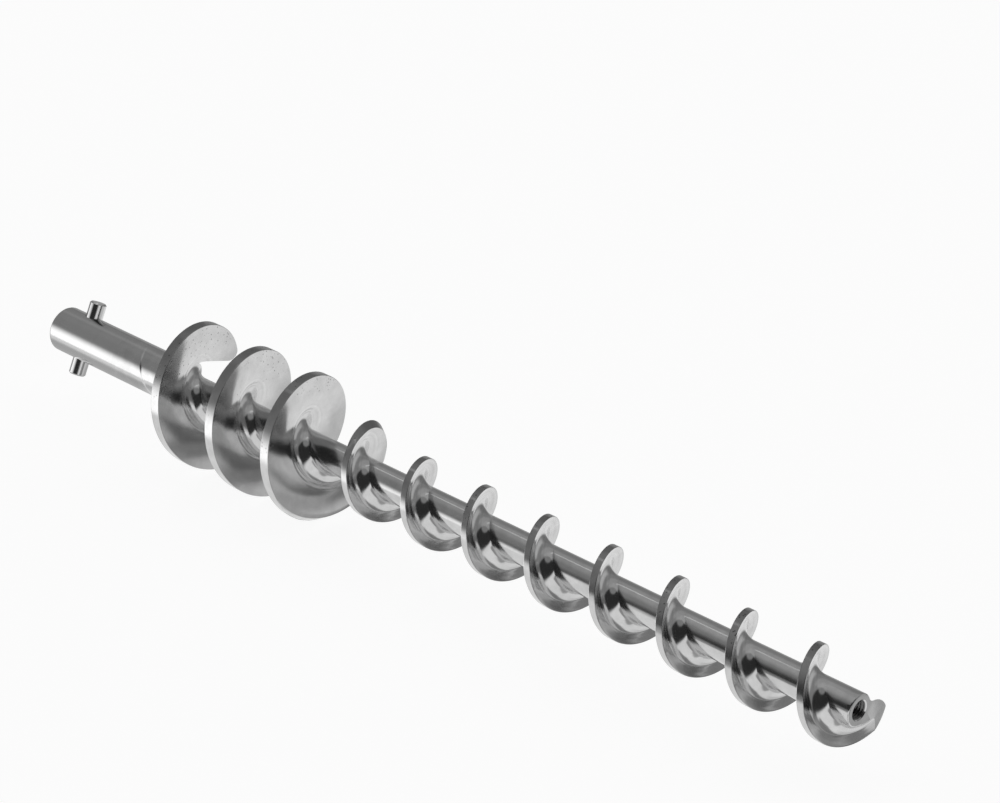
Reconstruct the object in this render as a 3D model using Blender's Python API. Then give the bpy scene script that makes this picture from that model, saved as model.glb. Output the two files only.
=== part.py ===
"""Conveyor screw: a drive shank with a cross pin, a stepped run of flighting and a tapped tip.

Lengths are in metres. The screw's axis is +X, the drive end's face is at x = 0,
and the flighting is right-handed. Turn number n counts turns of the flighting:
whole numbers are where it passes over the top (+Z), and turn 0 is the stepped one.
"""
import math

import bmesh
import bpy
from mathutils import Matrix

# Whole screw
SCREW_LENGTH = 0.475
PITCH = 0.036
TURN_ZERO_X = 0.1996
JOINT_GAP = 0.0003

# Drive shank and its cross pin
SHANK_RADIUS = 0.0107
SHANK_EDGE_ROUND = 0.0012
SHANK_END_X = 0.0743
PIN_RADIUS = 0.004
PIN_LENGTH = 0.0356
PIN_X = 0.0156
PIN_ANGLE_DEG = 63.7
PIN_CHAMFER = 0.0006

# Core
CORE_RADIUS = 0.0070
FEED_CORE_END_X = 0.1960
METERING_CORE_END_X = 0.4380
TIP_EDGE_ROUND = 0.0004

# Tapped hole in the tip
HOLE_RADIUS = 0.0034
HOLE_MOUTH_RADIUS = 0.0046
HOLE_DEPTH = 0.0240
HOLE_MOUTH_DEPTH = 0.0011

# Outside of the flighting: large, then a turned cone of 30 degrees, then small
LARGE_RADIUS = 0.0317
SMALL_RADIUS = 0.0178
CONE_START_X = 0.1773
CONE_END_X = 0.2013

# Cross-section of the flight, large and small
LARGE_THICKNESS = 0.0051
SMALL_THICKNESS = 0.0035
LARGE_FRONT_WAIST = 0.0028
SMALL_FRONT_WAIST = 0.0010
LARGE_REAR_FOOT = 0.0036
SMALL_REAR_FOOT = 0.0039
FRONT_FILLET = 0.0063
REAR_FILLET = 0.0018
FIRST_REAR_FILLET = 0.0006
FILLET_EDGE = 0.0004

# Where the flight starts and ends, in turns
FIRST_TURN = -3.21
SHOULDER_END_TURN = -2.25
LAST_TURN = 7.85
LARGE_END_TURN = -0.5
LARGE_BUTT_GAP = 0.0012
SMALL_BUTT_GAP = 0.0020

# The milled face that the flight starts at: a plane this far from the axis
START_FACE_DISTANCE = 0.0118
START_FACE_ANGLE_DEG = 70.0
START_FACE_END_X = 0.0890
START_CORNER_ROUND = 0.0050

# Facets
STEPS_A_TURN = 32
BAR_FACETS = 32
PIN_FACETS = 20
HOLE_FACETS = 20


def clear_scene():
    """Remove every object from the scene."""
    for old in list(bpy.data.objects):
        bpy.data.objects.remove(old, do_unlink=True)


def steel(name, shade, roughness):
    """Return a grey metallic material of its own for one node."""
    material = bpy.data.materials.new(name)
    material.use_nodes = True
    shader = material.node_tree.nodes["Principled BSDF"]
    shader.inputs["Base Color"].default_value = (shade, shade, shade, 1.0)
    shader.inputs["Metallic"].default_value = 1.0
    shader.inputs["Roughness"].default_value = roughness
    return material


def finish_object(name, work, shade, roughness):
    """Turn a bmesh into a named, smooth-shaded object with its normals facing out."""
    bmesh.ops.recalc_face_normals(work, faces=work.faces)
    mesh = bpy.data.meshes.new(name)
    work.to_mesh(mesh)
    work.free()
    mesh.shade_smooth()
    mesh.set_sharp_from_angle(angle=math.radians(35.0))
    mesh.materials.append(steel(name + "_steel", shade, roughness))
    item = bpy.data.objects.new(name, mesh)
    bpy.context.collection.objects.link(item)
    return item


def mesh_object(name, vertices, faces, shade, roughness):
    """Make a closed object from a list of points and a list of faces."""
    mesh = bpy.data.meshes.new(name + "_points")
    mesh.from_pydata(vertices, [], faces)
    work = bmesh.new()
    work.from_mesh(mesh)
    bpy.data.meshes.remove(mesh)
    return finish_object(name, work, shade, roughness)


def round_bar(name, start_x, end_x, radius, facets, shade, roughness, bevels=()):
    """Make a round bar along X; each bevel is the x of an end and its width there."""
    work = bmesh.new()
    bmesh.ops.create_cone(
        work,
        cap_ends=True,
        segments=facets,
        radius1=radius,
        radius2=radius,
        depth=end_x - start_x,
    )
    along_x = Matrix.Rotation(math.radians(90.0), 4, "Y")
    middle = Matrix.Translation((0.5 * (start_x + end_x), 0.0, 0.0))
    bmesh.ops.transform(work, matrix=middle @ along_x, verts=work.verts)
    for place, width in bevels:
        rim = []
        for edge in work.edges:
            if all(abs(vertex.co.x - place) < 1e-5 for vertex in edge.verts):
                rim.append(edge)
        bmesh.ops.bevel(
            work,
            geom=rim,
            offset=width,
            offset_type="OFFSET",
            segments=2,
            profile=0.5,
            affect="EDGES",
        )
    return finish_object(name, work, shade, roughness)


def make_cutter(item):
    """Mark an object as a cutter that isn't part of the screw."""
    item.hide_render = True
    item.display_type = "WIRE"


def cut_with(item, cutter, name):
    """Cut one object with another through an exact boolean modifier."""
    make_cutter(cutter)
    modifier = item.modifiers.new(name, "BOOLEAN")
    modifier.operation = "DIFFERENCE"
    modifier.solver = "EXACT"
    modifier.object = cutter


def around_axis(x, radius, angle):
    """Return the point at distance radius from the screw's axis, at an angle from +Y."""
    return (x, radius * math.cos(angle), radius * math.sin(angle))


def turn_angle(turn):
    """Return the angle from +Y at which the flight stands at this turn number."""
    return math.pi / 2.0 + 2.0 * math.pi * turn


def blend(value, start, end):
    """Return 0 below start, 1 above end and a straight ramp between them."""
    return min(1.0, max(0.0, (value - start) / (end - start)))


def mix(first, second, share):
    """Return the value that lies the given share of the way from first to second."""
    return first + (second - first) * share


def flight_x(turn):
    """Return where the middle of the flight's outer edge is along the axis."""
    return TURN_ZERO_X + PITCH * turn


def turned_radius(x):
    """Return the outer radius that the flighting is turned to at this place."""
    return mix(LARGE_RADIUS, SMALL_RADIUS, blend(x, CONE_START_X, CONE_END_X))


def flight_section(turn):
    """Return the flight's cross-section as (x, radius) points at one place on the helix.

    It runs from the rear foot up the rear fillet and flank, over the outer edge, and down
    the front flank and the wide front fillet to the front foot.
    """
    middle = flight_x(turn)
    small = blend(turn, LARGE_END_TURN, 0.0)
    half = 0.5 * mix(LARGE_THICKNESS, SMALL_THICKNESS, small)
    front_waist = mix(LARGE_FRONT_WAIST, SMALL_FRONT_WAIST, small)
    rear_foot = mix(LARGE_REAR_FOOT, SMALL_REAR_FOOT, small)
    settled = blend(turn, SHOULDER_END_TURN, -2.0)
    rear_fillet = mix(FIRST_REAR_FILLET, REAR_FILLET, settled)
    inner = CORE_RADIUS + JOINT_GAP
    points = [(middle - rear_foot - rear_fillet, inner)]
    for degrees in (70.0, 35.0, 0.0):
        angle = math.radians(degrees)
        back = rear_foot + rear_fillet * (1.0 - math.cos(angle))
        radius = CORE_RADIUS + rear_fillet * (1.0 - math.sin(angle)) + FILLET_EDGE
        points.append((middle - back, max(radius, inner + FILLET_EDGE)))
    points.append((middle - half, turned_radius(middle - half)))
    points.append((middle + half, turned_radius(middle + half)))
    for degrees in (0.0, 25.0, 50.0, 70.0):
        angle = math.radians(degrees)
        ahead = front_waist + FRONT_FILLET * (1.0 - math.cos(angle))
        radius = CORE_RADIUS + FRONT_FILLET * (1.0 - math.sin(angle))
        points.append((middle + ahead, max(radius, inner + FILLET_EDGE)))
    points.append((points[-1][0], inner))
    return points


def flight_turns(first_turn, last_turn):
    """Return the turn numbers of the sections between two ends, in even steps."""
    turns = [first_turn]
    step = math.floor(first_turn * STEPS_A_TURN) + 1
    while step / STEPS_A_TURN < last_turn - 0.004:
        if step / STEPS_A_TURN > first_turn + 0.004:
            turns.append(step / STEPS_A_TURN)
        step += 1
    turns.append(last_turn)
    return turns


def flight_body(name, first_turn, last_turn, shade, roughness):
    """Carry the cross-section along the helix between two turn numbers and cap both ends."""
    turns = flight_turns(first_turn, last_turn)
    vertices = []
    for turn in turns:
        for x, radius in flight_section(turn):
            vertices.append(around_axis(x, radius, turn_angle(turn)))
    count = len(flight_section(first_turn))
    faces = []
    for place in range(len(turns) - 1):
        for point in range(count):
            low = place * count + point
            high = place * count + (point + 1) % count
            faces.append((low, high, high + count, low + count))
    faces.append(tuple(range(count)))
    faces.append(tuple(range((len(turns) - 1) * count, len(turns) * count)))
    return mesh_object(name, vertices, faces, shade, roughness)


def build_drive_shank():
    """Build the round shank with its softened rear edge and the hole for the cross pin."""
    shank = round_bar(
        "drive_shank",
        0.0,
        SHANK_END_X - JOINT_GAP,
        SHANK_RADIUS,
        BAR_FACETS,
        0.60,
        0.15,
        bevels=((0.0, SHANK_EDGE_ROUND),),
    )
    hole = round_bar(
        "pin_hole_cutter",
        -0.02,
        0.02,
        PIN_RADIUS + JOINT_GAP,
        PIN_FACETS,
        0.5,
        0.5,
    )
    lay_across(hole)
    cut_with(shank, hole, "pin hole")


def lay_across(item):
    """Lay a pin that was made along X across the shank, at its place and angle."""
    item.location = (PIN_X, 0.0, 0.0)
    across = Matrix.Rotation(math.radians(90.0), 4, "Z")
    tilt = Matrix.Rotation(math.radians(PIN_ANGLE_DEG), 4, "X")
    item.rotation_euler = (tilt @ across).to_euler()


def build_cross_pin():
    """Build the drive pin that goes right through the shank."""
    half = 0.5 * PIN_LENGTH
    pin = round_bar(
        "cross_pin",
        -half,
        half,
        PIN_RADIUS,
        PIN_FACETS,
        0.68,
        0.08,
        bevels=((-half, PIN_CHAMFER), (half, PIN_CHAMFER)),
    )
    lay_across(pin)


def build_helical_shoulder():
    """Build the full-diameter collar that ends against the back of the first turn.

    Its front end follows the helix for nearly a turn, then drops back at a radial wall
    where the flight starts.
    """
    inner = CORE_RADIUS + JOINT_GAP
    foot = LARGE_REAR_FOOT + FIRST_REAR_FILLET + JOINT_GAP
    low_x = flight_x(FIRST_TURN) - foot
    vertices = []
    for step in range(STEPS_A_TURN + 1):
        turn = mix(FIRST_TURN, SHOULDER_END_TURN, step / STEPS_A_TURN)
        angle = turn_angle(turn)
        end_x = flight_x(turn) - foot
        vertices.append(around_axis(SHANK_END_X, inner, angle))
        vertices.append(around_axis(SHANK_END_X, SHANK_RADIUS, angle))
        vertices.append(around_axis(end_x, SHANK_RADIUS, angle))
        vertices.append(around_axis(end_x, inner, angle))
    outer_low = len(vertices)
    vertices.append(around_axis(low_x, SHANK_RADIUS, turn_angle(SHOULDER_END_TURN)))
    inner_low = len(vertices)
    vertices.append(around_axis(low_x, inner, turn_angle(SHOULDER_END_TURN)))
    faces = []
    for step in range(STEPS_A_TURN - 1):
        low = 4 * step
        for point in range(4):
            after = (point + 1) % 4
            faces.append((low + point, low + after, low + 4 + after, low + 4 + point))
    low = 4 * (STEPS_A_TURN - 1)
    last = 4 * STEPS_A_TURN
    faces.append((low, low + 1, last + 1, last))
    faces.append((low + 1, low + 2, last + 2, outer_low, last + 1))
    faces.append((low + 2, low + 3, last + 3, last + 2))
    faces.append((low + 3, low, last, inner_low, last + 3))
    faces.append((outer_low, last + 2, last + 3, inner_low))
    faces.append((last, last + 1, 1, 0))
    faces.append((last + 1, outer_low, 2, 1))
    faces.append((outer_low, inner_low, 3, 2))
    faces.append((inner_low, last, 0, 3))
    mesh_object("helical_shoulder", vertices, faces, 0.58, 0.17)


def build_core():
    """Build the core bar in the lengths that carry the large and the small flights."""
    feed_end = FEED_CORE_END_X - JOINT_GAP
    metering_end = METERING_CORE_END_X - JOINT_GAP
    round_bar("feed_core", SHANK_END_X, feed_end, CORE_RADIUS, BAR_FACETS, 0.55, 0.18)
    round_bar(
        "metering_core", FEED_CORE_END_X, metering_end, CORE_RADIUS, BAR_FACETS, 0.56, 0.18
    )


def build_tip_core():
    """Build the core's tip, with its softened edge and the tapped hole's plain bore."""
    tip = round_bar(
        "tip_core",
        METERING_CORE_END_X,
        SCREW_LENGTH,
        CORE_RADIUS,
        BAR_FACETS,
        0.57,
        0.18,
        bevels=((SCREW_LENGTH, TIP_EDGE_ROUND),),
    )
    bore = round_bar(
        "bore_cutter",
        SCREW_LENGTH - HOLE_DEPTH,
        SCREW_LENGTH + 0.005,
        HOLE_RADIUS,
        HOLE_FACETS,
        0.5,
        0.5,
    )
    cut_with(tip, bore, "bore")
    work = bmesh.new()
    bmesh.ops.create_cone(
        work,
        cap_ends=True,
        segments=HOLE_FACETS,
        radius1=HOLE_RADIUS - 0.0002,
        radius2=2.0 * HOLE_MOUTH_RADIUS - HOLE_RADIUS + 0.0002,
        depth=2.0 * HOLE_MOUTH_DEPTH,
    )
    place = Matrix.Translation((SCREW_LENGTH, 0.0, 0.0))
    along_x = Matrix.Rotation(math.radians(90.0), 4, "Y")
    bmesh.ops.transform(work, matrix=place @ along_x, verts=work.verts)
    mouth = finish_object("mouth_cutter", work, 0.5, 0.5)
    cut_with(tip, mouth, "mouth")


def build_start_cutter():
    """Build the cutter for the milled face and rounded corner that the flight starts at.

    The cutter is a plate beside the plane of the milled face. Its outer end turns up in
    a quarter circle, which leaves the flight's corner rounded.
    """
    face = START_FACE_DISTANCE
    corner_y = LARGE_RADIUS - START_CORNER_ROUND - 0.0016
    outline = [(-0.06, face), (corner_y, face)]
    for degrees in (22.5, 45.0, 67.5, 90.0):
        angle = math.radians(degrees)
        outline.append(
            (
                corner_y + START_CORNER_ROUND * math.sin(angle),
                face + START_CORNER_ROUND * (1.0 - math.cos(angle)),
            )
        )
    outline.append((0.05, face + START_CORNER_ROUND))
    outline.append((0.05, -0.06))
    outline.append((-0.06, -0.06))
    tilt = math.radians(START_FACE_ANGLE_DEG - 90.0)
    vertices = []
    for x in (0.05, START_FACE_END_X):
        for side, up in outline:
            y = side * math.cos(tilt) - up * math.sin(tilt)
            z = side * math.sin(tilt) + up * math.cos(tilt)
            vertices.append((x, y, z))
    count = len(outline)
    faces = [tuple(range(count)), tuple(range(count, 2 * count))]
    for point in range(count):
        after = (point + 1) % count
        faces.append((point, after, after + count, point + count))
    return mesh_object("start_cutter", vertices, faces, 0.5, 0.5)


def build_large_flights():
    """Build the three large turns; the first one starts at a milled face."""
    gap = LARGE_BUTT_GAP
    first = flight_body("large_flight_1", FIRST_TURN, -2.5 - gap, 0.62, 0.16)
    cut_with(first, build_start_cutter(), "milled start")
    flight_body("large_flight_2", -2.5 + gap, -1.5 - gap, 0.63, 0.16)
    flight_body("large_flight_3", -1.5 + gap, -0.5 - gap, 0.61, 0.16)


def build_step_flight():
    """Build the turn whose outside is turned down as a cone to the small size."""
    gap = LARGE_BUTT_GAP
    flight_body("step_flight", -0.5 + gap, 0.5 - gap, 0.62, 0.16)


def build_tip_cutter():
    """Build the block beyond the tip's face that cuts the last turn off flush."""
    work = bmesh.new()
    bmesh.ops.create_cube(work, size=0.1)
    place = Matrix.Translation((SCREW_LENGTH + 0.05, 0.0, 0.0))
    bmesh.ops.transform(work, matrix=place, verts=work.verts)
    return finish_object("tip_cutter", work, 0.5, 0.5)


def build_small_flights():
    """Build the small turns; the last one is cut flush with the tip's face."""
    gap = SMALL_BUTT_GAP
    for number in range(1, 7):
        name = "small_flight_" + str(number)
        shade = 0.60 + 0.004 * number
        flight_body(name, number - 0.5 + gap, number + 0.5 - gap, shade, 0.16)
    last = flight_body("small_flight_7", 6.5 + gap, LAST_TURN, 0.62, 0.16)
    cut_with(last, build_tip_cutter(), "flush end")


def main():
    """Build every node of the screw."""
    clear_scene()
    build_drive_shank()
    build_cross_pin()
    build_helical_shoulder()
    build_core()
    build_tip_core()
    build_large_flights()
    build_step_flight()
    build_small_flights()


main()
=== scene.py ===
"""A polished steel conveyor screw: drive shank with a cross pin, stepped flighting and a tapped tip.

The screw's axis is +X, with the drive end's face at x = 0. Sizes in the classes are millimetres, and
the meshes are metres. A turn number counts turns of the helix: whole numbers are where the flight
passes over the top, and turn 0 is the one that the outside is coned down on.
"""
from __future__ import annotations

import logging
import math
from dataclasses import dataclass, field
from enum import Enum

import bmesh
import bpy
import numpy as np
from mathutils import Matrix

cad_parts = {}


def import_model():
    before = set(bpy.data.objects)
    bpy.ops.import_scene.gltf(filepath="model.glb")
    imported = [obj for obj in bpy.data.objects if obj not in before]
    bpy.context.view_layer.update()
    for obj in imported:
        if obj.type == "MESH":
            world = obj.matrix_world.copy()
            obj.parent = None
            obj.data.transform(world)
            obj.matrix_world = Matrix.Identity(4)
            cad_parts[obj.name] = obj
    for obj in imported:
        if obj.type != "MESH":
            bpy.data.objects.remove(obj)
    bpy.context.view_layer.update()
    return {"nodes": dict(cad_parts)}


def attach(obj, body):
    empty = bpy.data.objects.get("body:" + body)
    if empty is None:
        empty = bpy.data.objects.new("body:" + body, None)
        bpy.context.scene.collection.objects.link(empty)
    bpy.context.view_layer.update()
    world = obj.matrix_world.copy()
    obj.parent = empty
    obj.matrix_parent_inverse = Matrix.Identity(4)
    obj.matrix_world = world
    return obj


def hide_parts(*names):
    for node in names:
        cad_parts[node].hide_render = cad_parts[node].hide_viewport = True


MM = 0.001
LOG = logging.getLogger("conveyor_screw")

SCREW_LENGTH = 475.0
PITCH = 36.0
TURN_ZERO_X = 199.6
ROWS_A_TURN = 96
FIRST_TURN = -3.0
START_ANGLE_DEG = 70.0
SHANK_RADIUS = 10.7
CORE_RADIUS = 7.0
SHARP_DEG = 34.0
ACROSS = "across"
STRIP_PARTS = ("behind", "climb", "land", "descend", "front")


class Grain(Enum):
    """Which way the tool marks run on a surface."""

    TURNED_FACE = "rings round the axis on a face"
    TURNED_BAR = "fine lines round a bar"
    GROUND_PIN = "lines round a pin that lies across the screw"


def ramp(value: np.ndarray, start: np.ndarray, end: np.ndarray) -> np.ndarray:
    """Return 0 below start, 1 above end and a straight line between them.

    Args:
        value: the numbers to place on the ramp.
        start: where the ramp leaves 0.
        end: where it reaches 1.

    Returns:
        An array of the same shape, from 0 to 1.
    """
    return np.clip((np.asarray(value, float) - start) / (end - start), 0.0, 1.0)


def ease(value: np.ndarray, start: float, end: float) -> np.ndarray:
    """Return ramp() eased at both ends: three times its square less twice its cube."""
    share = ramp(value, start, end)
    return share * share * (3.0 - 2.0 * share)


def mix(first: np.ndarray, second: np.ndarray, share: np.ndarray) -> np.ndarray:
    """Return the value that lies the given share of the way from first to second."""
    return first + (second - first) * share


def bump(value: np.ndarray, centre: float, width: float) -> np.ndarray:
    """Return a bell of height 1: e to the minus square of the distance from centre over width."""
    return np.exp(-(((value - centre) / width) ** 2))


def quarter(value: np.ndarray) -> np.ndarray:
    """Return a quarter circle's drop: 1 less the root of 1 less the square of the value, from 0 to 1."""
    inside = np.clip(value, 0.0, 1.0)
    return 1.0 - np.sqrt(1.0 - inside * inside)


def round_the_axis(x: np.ndarray, radius: np.ndarray, angle: np.ndarray) -> np.ndarray:
    """Return points at a distance from the screw's axis.

    The formula is (x, radius times the cosine of the angle, radius times its sine), with the angle
    taken from +Y towards +Z.

    Args:
        x: places along the axis.
        radius: distances from the axis.
        angle: angles in radians.

    Returns:
        An array with a last side of 3.
    """
    x, radius, angle = np.broadcast_arrays(x, radius, angle)
    return np.stack([x, radius * np.cos(angle), radius * np.sin(angle)], axis=-1)


def grid_faces(index: np.ndarray) -> np.ndarray:
    """Return the four-cornered faces between neighbouring rows and columns of a grid of indices.

    Args:
        index: vertex numbers, one for each row and column.

    Returns:
        An array of faces, four vertex numbers each.
    """
    corners = [index[:-1, :-1], index[:-1, 1:], index[1:, 1:], index[1:, :-1]]
    return np.stack(corners, axis=-1).reshape(-1, 4)


def wrapped(index: np.ndarray) -> np.ndarray:
    """Return a grid of indices with its first column repeated after its last, to close it."""
    return np.concatenate([index, index[:, :1]], axis=1)


def arc_length(offset: np.ndarray, radius: np.ndarray) -> np.ndarray:
    """Return how far along a cross-section each column is, from the nearer end of its row.

    It is the running sum of the lengths of the straight steps, or the rest of the row's length where
    that is less, so it is the same at both ends of a row.

    Args:
        offset: places along the axis, one row for each cross-section.
        radius: distances from the axis, in the same rows.

    Returns:
        An array of the same shape.
    """
    steps = np.hypot(np.diff(offset, axis=1), np.diff(radius, axis=1))
    run = np.hstack([np.zeros((len(offset), 1)), np.cumsum(steps, axis=1)])
    return np.minimum(run, run[:, -1:] - run)


@dataclass
class Shell:
    """The points and faces of one piece while it is put together, in millimetres."""

    name: str

    def __post_init__(self) -> None:
        """Start with no points and no faces."""
        self.points: list[np.ndarray] = []
        self.across: list[np.ndarray] = []
        self.faces: list[np.ndarray] = []
        self.count = 0

    def add_points(self, points: np.ndarray, across: np.ndarray | float = 0.0) -> np.ndarray:
        """Add points and return their numbers in the same rows and columns.

        Args:
            points: an array with a last side of 3.
            across: how far each point is along the cross-section, which the tool marks follow.

        Returns:
            The vertex numbers, in the shape of the array without its last side.
        """
        flat = np.asarray(points, float).reshape(-1, 3)
        numbers = np.arange(self.count, self.count + len(flat)).reshape(points.shape[:-1])
        self.points.append(flat)
        self.across.append(np.broadcast_to(across, points.shape[:-1]).reshape(-1))
        self.count += len(flat)
        return numbers

    def add_grid(self, index: np.ndarray) -> None:
        """Add the faces of a grid of vertex numbers."""
        self.faces.append(grid_faces(index))

    def add_fan(self, ring: np.ndarray, centre: np.ndarray) -> None:
        """Close a ring of vertex numbers with triangles that meet at a centre point.

        Args:
            ring: the vertex numbers, in order round the ring.
            centre: the point.
        """
        middle = int(self.add_points(np.asarray(centre, float).reshape(1, 3))[0])
        after = np.roll(ring, -1)
        hub = np.full_like(ring, middle)
        self.faces.append(np.stack([ring, after, hub], axis=-1))

    def to_bmesh(self) -> bmesh.types.BMesh:
        """Return a bmesh in metres with doubled points merged and no collapsed faces."""
        mesh = bpy.data.meshes.new(self.name + "_points")
        faces = [face for block in self.faces for face in block.tolist()]
        mesh.from_pydata((np.concatenate(self.points) * MM).tolist(), [], faces)
        layer = mesh.attributes.new(ACROSS, "FLOAT", "POINT")
        layer.data.foreach_set("value", np.concatenate(self.across) * MM)
        work = bmesh.new()
        work.from_mesh(mesh)
        bpy.data.meshes.remove(mesh)
        bmesh.ops.remove_doubles(work, verts=work.verts, dist=2e-7)
        bmesh.ops.dissolve_degenerate(work, dist=1e-8, edges=work.edges)
        return work


def linked(name: str, data: bpy.types.ID) -> bpy.types.Object:
    """Return a new object that holds the data, linked to the scene.

    Args:
        name: the object's name.
        data: its mesh or camera.

    Returns:
        The object.
    """
    thing = bpy.data.objects.new(name, data)
    bpy.context.scene.collection.objects.link(thing)
    return thing


def piece_from(work: bmesh.types.BMesh, name: str) -> bpy.types.Object:
    """Turn a bmesh into an object with outward faces, smooth except across sharp edges.

    Args:
        work: the bmesh, which is freed.
        name: the object's name.

    Returns:
        The object, at the origin and linked to the scene.
    """
    bmesh.ops.recalc_face_normals(work, faces=work.faces)
    mesh = bpy.data.meshes.new(name)
    work.to_mesh(mesh)
    work.free()
    piece = linked(name, mesh)
    mesh.shade_smooth()
    mesh.set_sharp_from_angle(angle=math.radians(SHARP_DEG))
    return piece


def read_points(mesh: bpy.types.Mesh) -> np.ndarray:
    """Return a mesh's points as rows of three numbers.

    Args:
        mesh: the mesh.

    Returns:
        The rows, in metres.
    """
    flat = np.empty(3 * len(mesh.vertices))
    mesh.vertices.foreach_get("co", flat)
    return flat.reshape(-1, 3)


def write_points(mesh: bpy.types.Mesh, points: np.ndarray) -> None:
    """Put rows of three numbers back into a mesh's points."""
    mesh.vertices.foreach_set("co", points.reshape(-1))
    mesh.update()


def cut_through(piece: bpy.types.Object, cutter: bpy.types.Object) -> None:
    """Cut one object out of another, keep the result as the first one's mesh and drop the second.

    Args:
        piece: the object that is cut.
        cutter: the object that is taken away, removed afterwards.
    """
    change = piece.modifiers.new("cut", "BOOLEAN")
    change.operation = "DIFFERENCE"
    change.solver = "EXACT"
    change.object = cutter
    ready = piece.evaluated_get(bpy.context.evaluated_depsgraph_get())
    mesh = bpy.data.meshes.new_from_object(ready)
    piece.modifiers.clear()
    old = piece.data
    piece.data = mesh
    bpy.data.meshes.remove(old)
    bpy.data.objects.remove(cutter, do_unlink=True)
    mesh.name = piece.name
    mesh.shade_smooth()
    mesh.set_sharp_from_angle(angle=math.radians(SHARP_DEG))


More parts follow.
